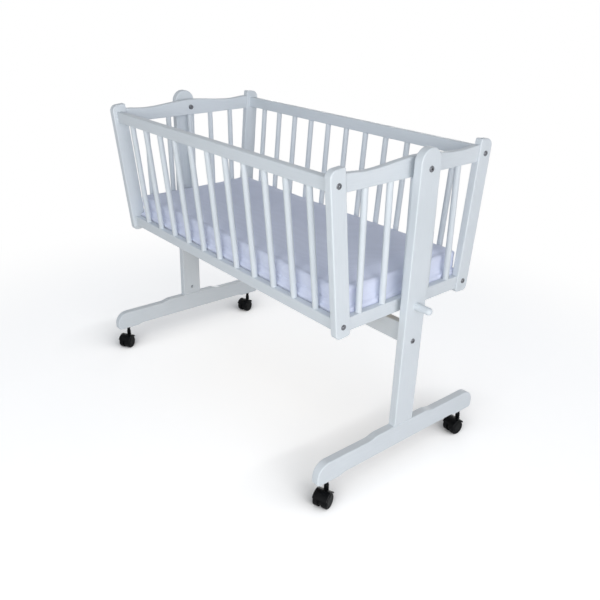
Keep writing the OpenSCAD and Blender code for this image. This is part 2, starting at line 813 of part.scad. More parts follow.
// One wheel of the pair, on the +Y side (s = 1) or the -Y side (s = -1) of the web
module wheel_body(s) {
    translate([caster_trail, s * wheel_in, wheel_r]) rotate([-90 * s, 0, 0]) rotate_extrude() wheel_outline();
}

module hood(end, side) color(black) at_caster(end, side) hood_body();

module stem(end, side) color(steel) at_caster(end, side)
    translate([0, 0, stem_z]) cylinder(h = caster_h + sleeve_len - stem_top_gap - stem_z, r = stem_r);

module axle(end, side) color(steel) at_caster(end, side)
    translate([caster_trail, 0, wheel_r]) rotate([90, 0, 0])
        cylinder(h = 2 * axle_half, r = axle_r, center = true);

module wheel(end, side, s) color(black) at_caster(end, side) wheel_body(s);

// A socket knocked into the foot: a sleeve with a flange under it
module caster_sockets() {
    color(black) placed() for (end = ENDS, side = SIDES)
        translate([end * upright_mid_x, side * caster_y, caster_h]) difference() {
            union() {
                cylinder(h = sleeve_len, r = sleeve_r);
                translate([0, 0, -flange_h]) cylinder(h = flange_h, r1 = flange_low_r, r2 = flange_top_r);
            }
            translate([0, 0, -flange_h - cut_over])
                cylinder(h = sleeve_len + flange_h + 2 * cut_over, r = stem_r + run_fit);
        }
}

// ---------- Sub-parts ----------

module near_front_post() post(near, front);
module near_back_post() post(near, back);
module far_front_post() post(far, front);
module far_back_post() post(far, back);
module near_top_rail() top_end_rail(near);
module near_low_rail() low_end_rail(near);
module far_top_rail() top_end_rail(far);
module far_low_rail() low_end_rail(far);
module front_top_rail() side_rail(front, bolt_rise, -1);
module front_low_rail() side_rail(front, 0, 1);
module back_top_rail() side_rail(back, bolt_rise, -1);
module back_low_rail() side_rail(back, 0, 1);
module near_spindles() end_spindles(near);
module far_spindles() end_spindles(far);
module front_spindles() side_spindles(front);
module back_spindles() side_spindles(back);
module front_batten() batten(front);
module back_batten() batten(back);
module near_upright() upright(near);
module far_upright() upright(far);
module near_foot() foot(near);
module far_foot() foot(far);
module near_front_hood() hood(near, front);
module near_front_stem() stem(near, front);
module near_front_axle() axle(near, front);
module near_front_wheel_a() wheel(near, front, 1);
module near_front_wheel_b() wheel(near, front, -1);
module near_back_hood() hood(near, back);
module near_back_stem() stem(near, back);
module near_back_axle() axle(near, back);
module near_back_wheel_a() wheel(near, back, 1);
module near_back_wheel_b() wheel(near, back, -1);
module far_front_hood() hood(far, front);
module far_front_stem() stem(far, front);
module far_front_axle() axle(far, front);
module far_front_wheel_a() wheel(far, front, 1);
module far_front_wheel_b() wheel(far, front, -1);
module far_back_hood() hood(far, back);
module far_back_stem() stem(far, back);
module far_back_axle() axle(far, back);
module far_back_wheel_a() wheel(far, back, 1);
module far_back_wheel_b() wheel(far, back, -1);

near_front_post();
near_back_post();
far_front_post();
far_back_post();
near_top_rail();
near_low_rail();
far_top_rail();
far_low_rail();
front_top_rail();
front_low_rail();
back_top_rail();
back_low_rail();
near_spindles();
far_spindles();
front_spindles();
back_spindles();
base_board();
front_batten();
back_batten();
mattress();
corner_bolts();
corner_barrel_nuts();
pivot_bushes();
near_upright();
far_upright();
near_foot();
far_foot();
stretcher();
pivot_bolts();
pivot_spacers();
pivot_washers();
pivot_nuts();
stretcher_bolts();
foot_bolts();
stand_barrel_nuts();
stand_dowels();
caster_sockets();
lock_peg();
near_front_hood();
near_front_stem();
near_front_axle();
near_front_wheel_a();
near_front_wheel_b();
near_back_hood();
near_back_stem();
near_back_axle();
near_back_wheel_a();
near_back_wheel_b();
far_front_hood();
far_front_stem();
far_front_axle();
far_front_wheel_a();
far_front_wheel_b();
far_back_hood();
far_back_stem();
far_back_axle();
far_back_wheel_a();
far_back_wheel_b();
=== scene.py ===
import json
import math

import bmesh
import bpy
import numpy as np
from mathutils import Matrix, Vector

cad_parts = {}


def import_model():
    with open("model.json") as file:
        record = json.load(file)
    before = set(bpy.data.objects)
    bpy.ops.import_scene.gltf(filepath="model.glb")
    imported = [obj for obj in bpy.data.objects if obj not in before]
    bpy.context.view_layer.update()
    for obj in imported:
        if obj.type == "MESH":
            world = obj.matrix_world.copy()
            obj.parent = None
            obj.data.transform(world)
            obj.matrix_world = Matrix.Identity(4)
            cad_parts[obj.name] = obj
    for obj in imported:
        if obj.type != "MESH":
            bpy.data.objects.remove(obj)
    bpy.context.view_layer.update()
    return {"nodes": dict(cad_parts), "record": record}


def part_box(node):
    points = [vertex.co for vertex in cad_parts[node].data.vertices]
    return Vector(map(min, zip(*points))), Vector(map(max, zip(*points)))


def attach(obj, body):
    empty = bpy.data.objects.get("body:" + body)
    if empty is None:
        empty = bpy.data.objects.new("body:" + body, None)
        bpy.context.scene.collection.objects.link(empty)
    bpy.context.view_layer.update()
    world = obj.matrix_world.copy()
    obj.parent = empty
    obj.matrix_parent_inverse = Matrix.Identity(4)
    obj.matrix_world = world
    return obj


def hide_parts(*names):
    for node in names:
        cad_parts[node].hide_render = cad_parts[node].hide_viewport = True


MM = 0.001

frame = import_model()
nodes = frame["nodes"]
scene = bpy.context.scene

# ---------------------------------------------------------------- values shared with the solids, in mm

PIVOT_Z = 762.0
SWING = math.radians(1.4)
LEAN = math.radians(5.1)

# The two bolts of a corner post
BOLT_RISE = 317.0
TOP_BOLT_DROP = 5.5
TOP_BOLT_Z = PIVOT_Z - TOP_BOLT_DROP
LOW_BOLT_Z = TOP_BOLT_Z - BOLT_RISE * math.cos(LEAN)
LOW_BOLT_Y = 204.0

POST_W = 42.0
POST_BELOW, POST_ABOVE = 28.0, 34.0
POST_CROWN_R, POST_INNER_R, POST_TOE_R, POST_HEEL_R = 18.0, 4.0, 13.0, 8.0

TOP_RAIL_DROP, TOP_RAIL_H = 23.0, 35.0
TOP_RAIL_BOTTOM_Z = PIVOT_Z - TOP_RAIL_DROP
TOP_RAIL_DIP_Z = TOP_RAIL_BOTTOM_Z + TOP_RAIL_H
WAVE_RISE, WAVE_END_RISE, WAVE_DIP_Y = 10.0, 4.0, 150.0
WAVE_STEPS = 60

LOW_RAIL_H = 33.0
LOW_RAIL_BOTTOM_Z = LOW_BOLT_Z - LOW_RAIL_H / 2
LOW_RAIL_TOP_Z = LOW_BOLT_Z + LOW_RAIL_H / 2

CASTER_H = 66.0
FOOT_H, HUMP_RISE = 56.0, 6.0
FOOT_TOP_Z = CASTER_H + FOOT_H
HUMP_Z = FOOT_TOP_Z + HUMP_RISE
FOOT_HALF = 280.0
FOOT_TOE_R, FOOT_HEEL_R = 36.0, 10.0
HUMP_HALF, HUMP_RUN = 84.0, 32.0
PAD_FROM_Y, ARCH_RUN, ARCH_RISE = 215.0, 25.0, 5.0
EASE_STEPS = 12

UPRIGHT_TOP_Z = 807.0
UPRIGHT_R = 32.0

# Round holes in the boards. THROUGH is the length of a cutter that goes right through one
BUSH_R = 6.0
PIVOT_BOLT_R = 4.0
PEG_Z = LOW_BOLT_Z + 5.0
PEG_R = 9.0
PEG_PLAY, RAIL_PEG_PLAY = 0.05, 0.3
STRETCHER_BOLT_Z, STRETCHER_BOLT_R = 356.0, 3.2
FOOT_BARREL_Z = HUMP_Z + 26.0
BARREL_R, BARREL_PLAY = 5.0, 0.05
BARREL_IN, BARREL_HOLE = 8.0, 20.0
FOOT_BOLT_Z, FOOT_BOLT_R, FOOT_BOLT_HOLE = CASTER_H + 10.0, 6.6, 20.0
THROUGH = 40.0

# The basket's turn about its pivots, from level to how it hangs at rest
SWUNG = (Matrix.Translation((0, 0, PIVOT_Z * MM)) @ Matrix.Rotation(SWING, 4, "X")
         @ Matrix.Translation((0, 0, -PIVOT_Z * MM)))


def span_x(node):
    low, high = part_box(node)
    return low.x / MM, high.x / MM


# ---------------------------------------------------------------- nodes of a material

UNSTRETCHED = (1.0, 1.0, 1.0)
WHITE = (1.0, 1.0, 1.0)
BLACK = (0.0, 0.0, 0.0)

# Places of the colour sockets on a Mix node
MIX_FACTOR, MIX_A, MIX_B, MIX_RESULT = 0, 6, 7, 2


def new_material(name):
    material = bpy.data.materials.new(name)
    material.use_nodes = True
    tree = material.node_tree
    shader = tree.nodes["Principled BSDF"]
    return material, tree, shader


def add(tree, kind, **values):
    """A new node, with each value set on the socket or the setting of that name."""
    node = tree.nodes.new(kind)
    for key, value in values.items():
        if key in node.inputs:
            node.inputs[key].default_value = value
        else:
            setattr(node, key, value)
    return node


def feed(tree, socket, value):
    """Links another node's output to the socket, or sets a plain value on it."""
    if hasattr(value, "is_linked"):
        tree.links.new(value, socket)
    else:
        socket.default_value = value


def maths(tree, operation, a, b):
    node = add(tree, "ShaderNodeMath", operation=operation)
    feed(tree, node.inputs[0], a)
    feed(tree, node.inputs[1], b)
    return node.outputs[0]


def ramp(tree, fac, stops):
    node = tree.nodes.new("ShaderNodeValToRGB")
    elements = node.color_ramp.elements
    while len(elements) < len(stops):
        elements.new(0.5)
    for element, (position, colour) in zip(elements, stops):
        element.position = position
        element.color = (*colour, 1.0)
    tree.links.new(fac, node.inputs["Fac"])
    return node.outputs["Color"]


def grey_ramp(tree, fac, low, high):
    """A grey from low to high, between the places 0.3 and 0.7 of fac."""
    return ramp(tree, fac, [(0.3, (low,) * 3), (0.7, (high,) * 3)])


def coordinates(tree, scale):
    """The object's own coordinates, in metres, stretched where scale is below 1."""
    where = tree.nodes.new("ShaderNodeTexCoord")
    mapping = tree.nodes.new("ShaderNodeMapping")
    mapping.inputs["Scale"].default_value = scale
    tree.links.new(where.outputs["Object"], mapping.inputs["Vector"])
    return mapping.outputs["Vector"]


def noise(tree, vector, scale, detail=3.0, rough=0.5):
    node = add(tree, "ShaderNodeTexNoise", Scale=scale, Detail=detail, Roughness=rough)
    tree.links.new(vector, node.inputs["Vector"])
    return node.outputs["Fac"]


def mix(tree, kind, fac, a, b):
    node = tree.nodes.new("ShaderNodeMix")
    node.data_type = "RGBA"
    node.blend_type = kind
    for index, value in ((MIX_FACTOR, fac), (MIX_A, a), (MIX_B, b)):
        feed(tree, node.inputs[index], value)
    return node.outputs[MIX_RESULT]


def bump(tree, shader, layers):
    """Bumps one over another, each a height, its distance in metres and its strength."""
    previous = None
    for height, distance, strength in layers:
        node = add(tree, "ShaderNodeBump", Strength=strength, Distance=distance)
        tree.links.new(height, node.inputs["Height"])
        if previous is not None:
            tree.links.new(previous, node.inputs["Normal"])
        previous = node.outputs["Normal"]
    tree.links.new(previous, shader.inputs["Normal"])


# ---------------------------------------------------------------- materials

PAINT_RGB = (0.705, 0.75, 0.79)
PAINT_SHADE_RGB = (0.675, 0.722, 0.76)
PAINT_THIN_RGB = (0.655, 0.688, 0.705)
PAINT_STREAK_RGB = (0.94, 0.945, 0.95)
GRAIN_STRETCH = 0.045


def paint_material(axis):
    """White paint brushed on wood whose grain runs along axis 0, 1 or 2."""
    material, tree, shader = new_material("white_paint_" + "xyz"[axis])
    along = [1.0, 1.0, 1.0]
    along[axis] = GRAIN_STRETCH
    grain_at = coordinates(tree, along)
    plain_at = coordinates(tree, UNSTRETCHED)
    cloud = noise(tree, plain_at, 7.0, 2.0)
    brush = noise(tree, grain_at, 420.0, 4.0, 0.6)
    pores = noise(tree, grain_at, 1500.0, 2.0, 0.5)
    peel = noise(tree, plain_at, 900.0, 1.0)
    colour = ramp(tree, cloud, [(0.3, PAINT_SHADE_RGB), (0.62, PAINT_RGB)])
    streak = ramp(tree, brush, [(0.30, PAINT_STREAK_RGB), (0.55, WHITE)])
    colour = mix(tree, "MULTIPLY", 0.55, colour, streak)
    specks = noise(tree, plain_at, 55.0, 5.0, 0.65)
    thin = ramp(tree, specks, [(0.70, BLACK), (0.80, WHITE)])
    colour = mix(tree, "MIX", thin, colour, (*PAINT_THIN_RGB, 1.0))
    tree.links.new(colour, shader.inputs["Base Color"])
    tree.links.new(grey_ramp(tree, cloud, 0.36, 0.47), shader.inputs["Roughness"])
    shader.inputs["Specular IOR Level"].default_value = 0.3
    bump(tree, shader, [(brush, 0.00018, 0.5), (pores, 0.00006, 0.35), (peel, 0.00005, 0.3)])
    return material


WOOD_DARK_RGB = (0.52, 0.36, 0.20)
WOOD_RGB = (0.66, 0.48, 0.29)
WOOD_PALE_RGB = (0.74, 0.57, 0.37)
WOOD_LINE_RGB = (0.82, 0.78, 0.72)


def bare_wood_material():
    """Unpainted wood, its grain along X."""
    material, tree, shader = new_material("bare_wood")
    at = coordinates(tree, (0.06, 1.0, 1.0))
    figure = noise(tree, at, 34.0, 6.0, 0.6)
    fibre = noise(tree, at, 620.0, 3.0, 0.6)
    colour = ramp(tree, figure, [(0.3, WOOD_DARK_RGB), (0.5, WOOD_RGB), (0.7, WOOD_PALE_RGB)])
    lines = ramp(tree, fibre, [(0.35, WOOD_LINE_RGB), (0.6, WHITE)])
    colour = mix(tree, "MULTIPLY", 0.6, colour, lines)
    tree.links.new(colour, shader.inputs["Base Color"])
    tree.links.new(grey_ramp(tree, fibre, 0.62, 0.75), shader.inputs["Roughness"])
    bump(tree, shader, [(fibre, 0.0002, 0.4)])
    return material


COVER_SHADE_RGB = (0.765, 0.808, 0.972)
COVER_RGB = (0.795, 0.838, 0.99)
SLUB_RGB = (0.82, 0.83, 0.88)


def thread_waves(tree, at, direction):
    node = add(tree, "ShaderNodeTexWave", wave_type="BANDS", bands_direction=direction, wave_profile="SIN",
               Scale=260.0, Distortion=1.2, Detail=1.0)
    node.inputs["Detail Scale"].default_value = 3.0
    tree.links.new(at, node.inputs["Vector"])
    return node.outputs["Color"]


def fabric_material():
    """A plain woven cotton cover: crossed threads, slubs and soft creases."""
    material, tree, shader = new_material("mattress_cover")
    at = coordinates(tree, UNSTRETCHED)
    warp, weft, rise = (thread_waves(tree, at, direction) for direction in "XYZ")
    threads = mix(tree, "MULTIPLY", 1.0, warp, weft)
    threads = mix(tree, "SCREEN", 0.6, threads, rise)
    cloud = noise(tree, at, 5.0, 3.0)
    slub = noise(tree, coordinates(tree, (0.12, 1.0, 1.0)), 380.0, 3.0, 0.6)
    crease = noise(tree, coordinates(tree, (1.0, 0.6, 1.4)), 26.0, 3.0, 0.55)
    colour = ramp(tree, cloud, [(0.3, COVER_SHADE_RGB), (0.7, COVER_RGB)])
    colour = mix(tree, "MULTIPLY", 0.05, colour, ramp(tree, slub, [(0.3, SLUB_RGB), (0.65, WHITE)]))
    colour = mix(tree, "MULTIPLY", 0.06, colour, threads)
    tree.links.new(colour, shader.inputs["Base Color"])
    tree.links.new(grey_ramp(tree, slub, 0.86, 0.95), shader.inputs["Roughness"])
    shader.inputs["Specular IOR Level"].default_value = 0.2
    shader.inputs["Sheen Weight"].default_value = 0.25
    shader.inputs["Sheen Roughness"].default_value = 0.5
    bump(tree, shader, [(crease, 0.003, 0.10), (slub, 0.0002, 0.05), (threads, 0.0002, 0.3)])
    return material


def steel_material(name, light, dark, rough_low, rough_high):
    """Plated steel, clouded from dark to light, with fine marks round the axis Z."""
    material, tree, shader = new_material(name)
    cloud = noise(tree, coordinates(tree, UNSTRETCHED), 180.0, 4.0, 0.6)
    fine = noise(tree, coordinates(tree, (1.0, 1.0, 0.1)), 2600.0, 2.0, 0.6)
    tree.links.new(ramp(tree, cloud, [(0.35, dark), (0.65, light)]), shader.inputs["Base Color"])
    tree.links.new(grey_ramp(tree, cloud, rough_low, rough_high), shader.inputs["Roughness"])
    shader.inputs["Metallic"].default_value = 1.0
    bump(tree, shader, [(fine, 0.00005, 0.3)])
    return material


PLASTIC_DARK_RGB = (0.0018, 0.0021, 0.0026)
PLASTIC_RGB = (0.0042, 0.0047, 0.0055)


def black_plastic_material(name, rough_low, rough_high):
    """Moulded black plastic with a fine leather grain."""
    material, tree, shader = new_material(name)
    at = coordinates(tree, UNSTRETCHED)
    cloud = noise(tree, at, 90.0, 3.0)
    leather = add(tree, "ShaderNodeTexVoronoi", Scale=1400.0)
    tree.links.new(at, leather.inputs["Vector"])
    colour = ramp(tree, cloud, [(0.3, PLASTIC_DARK_RGB), (0.7, PLASTIC_RGB)])
    tree.links.new(colour, shader.inputs["Base Color"])
    tree.links.new(grey_ramp(tree, cloud, rough_low, rough_high), shader.inputs["Roughness"])
    shader.inputs["Specular IOR Level"].default_value = 0.08
    bump(tree, shader, [(leather.outputs["Distance"], 0.00008, 0.4)])
    return material


PAINT_X, PAINT_Y, PAINT_Z = (paint_material(axis) for axis in range(3))
COVER = fabric_material()

SLOT_MATERIAL = {
    "bare_wood": bare_wood_material(),
    "mattress_cover": COVER,
    "bolt_steel": steel_material("bolt_steel", (0.24, 0.25, 0.27), (0.13, 0.135, 0.15), 0.24, 0.36),
    "zinc_steel": steel_material("zinc_steel", (0.40, 0.42, 0.45), (0.24, 0.26, 0.29), 0.24, 0.38),
    "black_plastic": black_plastic_material("black_plastic", 0.32, 0.46),
    "wheel_plastic": black_plastic_material("wheel_plastic", 0.38, 0.55),
}


def paint_for(node):
    """The paint whose grain runs along the board or the spindles of that node."""
    if node.endswith(("_post", "_upright", "_spindles")):
        return PAINT_Z
    if node.endswith("_foot") or (node.startswith(("near_", "far_")) and node.endswith("_rail")):
        return PAINT_Y
    return PAINT_X


for part in frame["record"]["subparts"]:
    thing = nodes[part["node"]]
    material = SLOT_MATERIAL.get(part["material_slot"]) or paint_for(part["node"])
    for slot in thing.material_slots:
        slot.link = "OBJECT"
        slot.material = material


# ---------------------------------------------------------------- painted boards with rounded rims

ROUND_RIM, RAIL_RIM, LOW_RAIL_RIM = 3.0, 2.6, 2.2
RIM_SEGMENTS = 4
SMOOTH_ANGLE = math.radians(32)
FACE_WEIGHT = 90
CUTTER_SIDES = 48


def arc(cx, cy, r, a0, a1, steps):
    return [(cx + r * math.cos(math.radians(a0 + (a1 - a0) * i / steps)),
             cy + r * math.sin(math.radians(a0 + (a1 - a0) * i / steps))) for i in range(steps + 1)]


def ease(t):
    """From 0 to 1 while t goes from 0 to 1, with a soft start and end."""
    return 0.5 - 0.5 * math.cos(math.pi * min(max(t, 0.0), 1.0))


def linked(name, data):
    """A new object of that mesh, lamp or camera, in the scene."""
    obj = bpy.data.objects.new(name, data)
    scene.collection.objects.link(obj)
    return obj


def mesh_of(name, bm):
    mesh = bpy.data.meshes.new(name)
    bm.to_mesh(mesh)
    bm.free()
    return mesh


def finished(obj):
    """Applies the modifiers that the object has."""
    bpy.context.view_layer.update()
    graph = bpy.context.evaluated_depsgraph_get()
    mesh = bpy.data.meshes.new_from_object(obj.evaluated_get(graph), preserve_all_data_layers=True,
                                           depsgraph=graph)
    old = obj.data
    obj.modifiers.clear()
    obj.data = mesh
    bpy.data.meshes.remove(old)


def hole_x(x, z, r, length=THROUGH):
    """A round hole along X, as its centre, axis, radius and length."""
    return (x, 0, z), (1, 0, 0), r, length


def cutter(centre, axis, r, length):
    """A closed cylinder along axis, centred on centre, in mm."""
    bm = bmesh.new()
    turn = Vector((0, 0, 1)).rotation_difference(Vector(axis)).to_matrix().to_4x4()
    bmesh.ops.create_cone(bm, cap_ends=True, segments=CUTTER_SIDES, radius1=r * MM, radius2=r * MM,
                          depth=length * MM, matrix=Matrix.Translation(Vector(centre) * MM) @ turn)
    return linked("cutter", mesh_of("cutter", bm))


def bored(obj, holes):
    cutters = [cutter(*hole) for hole in holes]
    for tool in cutters:
        cut = obj.modifiers.new("hole", "BOOLEAN")
        cut.operation = "DIFFERENCE"
        cut.solver = "EXACT"
        cut.object = tool
    finished(obj)
    for tool in cutters:
        data = tool.data
        bpy.data.objects.remove(tool)
        bpy.data.meshes.remove(data)


def board_mesh(name, outline, span, rim):
    """A board of the outline, a list of (y, z) in mm, over span, its x from and to, with rounded rims."""
    bm = bmesh.new()
    caps = [[bm.verts.new((x * MM, y * MM, z * MM)) for y, z in outline] for x in span]
    bm.faces.new(caps[0])
    bm.faces.new(list(reversed(caps[1])))
    count = len(outline)
    for i in range(count):
        j = (i + 1) % count
        bm.faces.new((caps[0][i], caps[1][i], caps[1][j], caps[0][j]))
    bmesh.ops.recalc_face_normals(bm, faces=bm.faces)
    rims = [e for e in bm.edges if any(len(f.verts) == count for f in e.link_faces)]
    bmesh.ops.bevel(bm, geom=rims, offset=rim * MM, segments=RIM_SEGMENTS, profile=0.5, affect="EDGES",
                    clamp_overlap=True)
    return mesh_of(name, bm)


def board(node, outline, material, holes=(), rim=ROUND_RIM):
    """A rounded board in the place of the node's plain solid, with round holes bored in it."""
    name = node + "_rounded"
    obj = linked(name, board_mesh(name, outline, span_x(node), rim))
    if holes:
        bored(obj, holes)
    obj.data.polygons.foreach_set("use_smooth", [True] * len(obj.data.polygons))
    obj.data.set_sharp_from_angle(angle=SMOOTH_ANGLE)
    level = obj.modifiers.new("normals", "WEIGHTED_NORMAL")
    level.keep_sharp = True
    level.weight = FACE_WEIGHT
    obj.data.materials.clear()
    obj.data.materials.append(material)
    return obj


def stands_for(obj, node, body):
    if body == "cradle":
        obj.data.transform(SWUNG)
    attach(obj, body)
    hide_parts(node)


def post_outline(side):
    """A post on the front (side -1) or back (side 1), drawn up from its lower bolt and then leant outward."""
    half, low, high = POST_W / 2, -POST_BELOW, BOLT_RISE + POST_ABOVE
    points = (arc(half - POST_TOE_R, low + POST_TOE_R, POST_TOE_R, -90, 0, 10)
              + arc(half - POST_CROWN_R, high - POST_CROWN_R, POST_CROWN_R, 0, 90, 14)
              + arc(-half + POST_INNER_R, high - POST_INNER_R, POST_INNER_R, 90, 180, 6)
              + arc(-half + POST_HEEL_R, low + POST_HEEL_R, POST_HEEL_R, 180, 270, 8))
    return [(side * (LOW_BOLT_Y + y * math.cos(LEAN) + z * math.sin(LEAN)),
             LOW_BOLT_Z - y * math.sin(LEAN) + z * math.cos(LEAN)) for y, z in points]


def post_inner_y(z):
    """How far from the middle the inner edge of a post lies at height z."""
    return LOW_BOLT_Y + (z - LOW_BOLT_Z) * math.tan(LEAN) - POST_W / 2 / math.cos(LEAN)


def wave_z(y):
    """The upper edge of a top end rail: a hump over the pivot, a dip beside it, and a rise to the posts."""
    y = abs(y)
    if y < WAVE_DIP_Y:
        return TOP_RAIL_DIP_Z + WAVE_RISE * ease(1 - y / WAVE_DIP_Y)
    run = post_inner_y(TOP_RAIL_DIP_Z) - WAVE_DIP_Y
    return TOP_RAIL_DIP_Z + WAVE_END_RISE * ease((y - WAVE_DIP_Y) / run)


def top_rail_outline():
    low_y = post_inner_y(TOP_RAIL_BOTTOM_Z)
    high_y = post_inner_y(TOP_RAIL_DIP_Z + WAVE_END_RISE)
    places = [high_y * (1 - 2 * i / WAVE_STEPS) for i in range(WAVE_STEPS + 1)]
    return [(low_y, TOP_RAIL_BOTTOM_Z)] + [(y, wave_z(y)) for y in places] + [(-low_y, TOP_RAIL_BOTTOM_Z)]


def low_rail_outline():
    low_y, high_y = post_inner_y(LOW_RAIL_BOTTOM_Z), post_inner_y(LOW_RAIL_TOP_Z)
    return [(-low_y, LOW_RAIL_BOTTOM_Z), (low_y, LOW_RAIL_BOTTOM_Z),
            (high_y, LOW_RAIL_TOP_Z), (-high_y, LOW_RAIL_TOP_Z)]


def upright_outline():
    return ([(-UPRIGHT_R, HUMP_Z), (UPRIGHT_R, HUMP_Z)]
            + arc(0, UPRIGHT_TOP_Z - UPRIGHT_R, UPRIGHT_R, 0, 180, 40))


def foot_low_z(y):
    """The underside of a foot, arched between the pads over its casters."""
    return CASTER_H + ARCH_RISE * ease((PAD_FROM_Y - abs(y)) / ARCH_RUN)


def foot_top_z(y):
    """The upper edge of a foot, with a hump under the upright."""
    return FOOT_TOP_Z + HUMP_RISE * ease((HUMP_HALF + HUMP_RUN - abs(y)) / HUMP_RUN)


def foot_outline():
    lows = [PAD_FROM_Y - ARCH_RUN + ARCH_RUN * i / EASE_STEPS for i in range(EASE_STEPS + 1)]
    tops = [HUMP_HALF + HUMP_RUN * i / EASE_STEPS for i in range(EASE_STEPS + 1)]
    half = ([(y, foot_low_z(y)) for y in lows]
            + arc(FOOT_HALF - FOOT_HEEL_R, CASTER_H + FOOT_HEEL_R, FOOT_HEEL_R, -90, 0, 8)
            + arc(FOOT_HALF - FOOT_TOE_R, FOOT_TOP_Z - FOOT_TOE_R, FOOT_TOE_R, 0, 90, 14)
            + [(y, foot_top_z(y)) for y in reversed(tops)])
    return half + [(-y, z) for y, z in reversed(half)]


def middle_x(node):
    return sum(span_x(node)) / 2


def make_posts(end):
    for side_name, side in (("front", -1), ("back", 1)):
        node = f"{end}_{side_name}_post"
        stands_for(board(node, post_outline(side), PAINT_Z), node, "cradle")


def make_top_rail(end):
    node = f"{end}_top_rail"
    bush = hole_x(middle_x(node), PIVOT_Z, BUSH_R)
    stands_for(board(node, top_rail_outline(), PAINT_Y, [bush], RAIL_RIM), node, "cradle")


def make_low_rail(end):
    node = f"{end}_low_rail"
    holes = [hole_x(middle_x(node), PEG_Z, PEG_R + RAIL_PEG_PLAY)] if end == "near" else []
    stands_for(board(node, low_rail_outline(), PAINT_Y, holes, LOW_RAIL_RIM), node, "cradle")


def make_upright(end):
    """An upright with its pivot, its stretcher bolt, its barrel nut seen from inside and, near, its peg."""
    node = f"{end}_upright"
    middle = middle_x(node)
    barrel_x = span_x(node)[0] + BARREL_IN if end == "near" else span_x(node)[1] - BARREL_IN
    holes = [hole_x(middle, PIVOT_Z, PIVOT_BOLT_R), hole_x(middle, STRETCHER_BOLT_Z, STRETCHER_BOLT_R),
             hole_x(barrel_x, FOOT_BARREL_Z, BARREL_R + BARREL_PLAY, BARREL_HOLE)]
    if end == "near":
        holes.append(hole_x(middle, PEG_Z, PEG_R + PEG_PLAY))
    stands_for(board(node, upright_outline(), PAINT_Z, holes), node, "stand")


def make_foot(end):
    node = f"{end}_foot"
    seat = (middle_x(node), 0, FOOT_BOLT_Z), (0, 0, 1), FOOT_BOLT_R, FOOT_BOLT_HOLE
    stands_for(board(node, foot_outline(), PAINT_Y, [seat]), node, "stand")


for end in ("near", "far"):
    make_posts(end)
    make_top_rail(end)
    make_low_rail(end)
    make_upright(end)
    make_foot(end)


# ---------------------------------------------------------------- mattress, in mm, level, on z = 0

MATTRESS_HALF_X, MATTRESS_HALF_Y, MATTRESS_T = 445.0, 199.0, 68.0
CROWN, PUFF, PUFF_RUN = 5.0, 1.5, 30.0

# How much smaller the cover starts, and how the cloth solver blows it up
SHRINK_SIDE, SHRINK_TOP = 1.6, 3.0
VOXEL = 5.0
HELD_BELOW = 6.0
PRESSURE, STRETCH_STIFFNESS, BEND_STIFFNESS = 4.0, 18.0, 1.2
CLOTH_QUALITY, CLOTH_FRAMES = 5, 20

# How far a point may move: at the edges, in the middle of a panel, and how fast the one becomes the other
EDGE_CAP, PANEL_CAP, CAP_RUN = 0.8, 6.0, 26.0

# The long sides are drawn in towards the middle, the near end is pressed flat, and all is smoothed a little
WAIST, WAIST_FROM_Y = 2.0, 150.0
NEAR_PANEL_X, NEAR_PANEL_Z, NEAR_PANEL_HALF = 12.0, 35.0, 22.0
RELAX_STEPS = 2

# The rim is drawn out square in bins along each side. The wall and the lid of a bin are read in these bands
RIM_R, RIM_POWER, RIM_BIN, BIN_START = 14.0, 5.0, 12.0, -500.0
WALL_LOW_Z, WALL_HIGH_Z = 34.0, 50.0
LID_FROM, LID_TO, LID_LOW_Z = 34.0, 16.0, 40.0

# The back near corner stands out, and the near end sags towards the back
CORNER_FROM, CORNER_RUN, CORNER_OUT = 388.0, 40.0, 8.5
END_SAG, SAG_FROM_X, SAG_RUN_X, SAG_FROM_Y, SAG_RUN_Y = 7.0, 375.0, 65.0, -185.0, 150.0

# The seam runs round the steep sides but not the near end, and wanders up and down a little
SEAM_Z, SEAM_GAP, SEAM_FADE, SEAM_STEEPNESS = 30.0, 30.0, 14.0, 1.4
SEAM_WANDER = ((0.5, 71.0), (0.3, 23.0))
GROOVE_DEPTH, GROOVE_W = 2.0, 1.7
LIP_H, LIP_W, LIP_BELOW = 0.7, 2.2, 5.0
PUCKER_H, PUCKER_REACH, PUCKER_LENGTH = 0.42, 8.0, 2.6
PUCKER_SHIFT, PUCKER_SHIFT_LENGTH = 1.3, 9.0
PULL_DEPTH, PULL_REACH = 1.6, 9.0

# Unevenness of the top and of the sides, and the front's bulge between the spindles
TOP_UNEVEN, SIDE_UNEVEN, SIDE_SQUEEZE = 0.45, 0.4, 1.5
TOP_WAVES = {"seed": 7, "count": 9, "lengths": (90.0, 240.0)}
SIDE_WAVES = {"seed": 11, "count": 8, "lengths": (45.0, 120.0)}
SPINDLE_PITCH, PRESS_RUN = 76.25, 15.0
BULGE, BACK_BULGE, BULGE_FULL_Z, BULGE_FACING = 4.2, 0.8, 45.0, 0.5
PRESS_DIP, RIM_RUN = 2.6, 22.0

# The foot of the slab, which the remesh rounds off, is filled out within the space of its solid
LOW_FILL_X, LOW_FILL_Y, LOW_FILL_RISE = 22.0, 24.0, 16.0
COVER_ROOM, LOW_ROOM_X, LOW_ROOM_Y = 1.5, 2.5, -1.2
LOW_INSET, LOW_INSET_RISE, BULGE_FROM_Z = 3.96, 20.0, 30.0
UNDERSIDE_Z = 0.2


def coords(obj):
    co = np.empty(len(obj.data.vertices) * 3)
    obj.data.vertices.foreach_get("co", co)
    return co.reshape(-1, 3)


def set_coords(obj, co):
    obj.data.vertices.foreach_set("co", co.reshape(-1))
    obj.data.update()


def vertex_normals(obj):
    normals = np.empty(len(obj.data.vertices) * 3)
    obj.data.vertices.foreach_get("normal", normals)
    return normals.reshape(-1, 3)


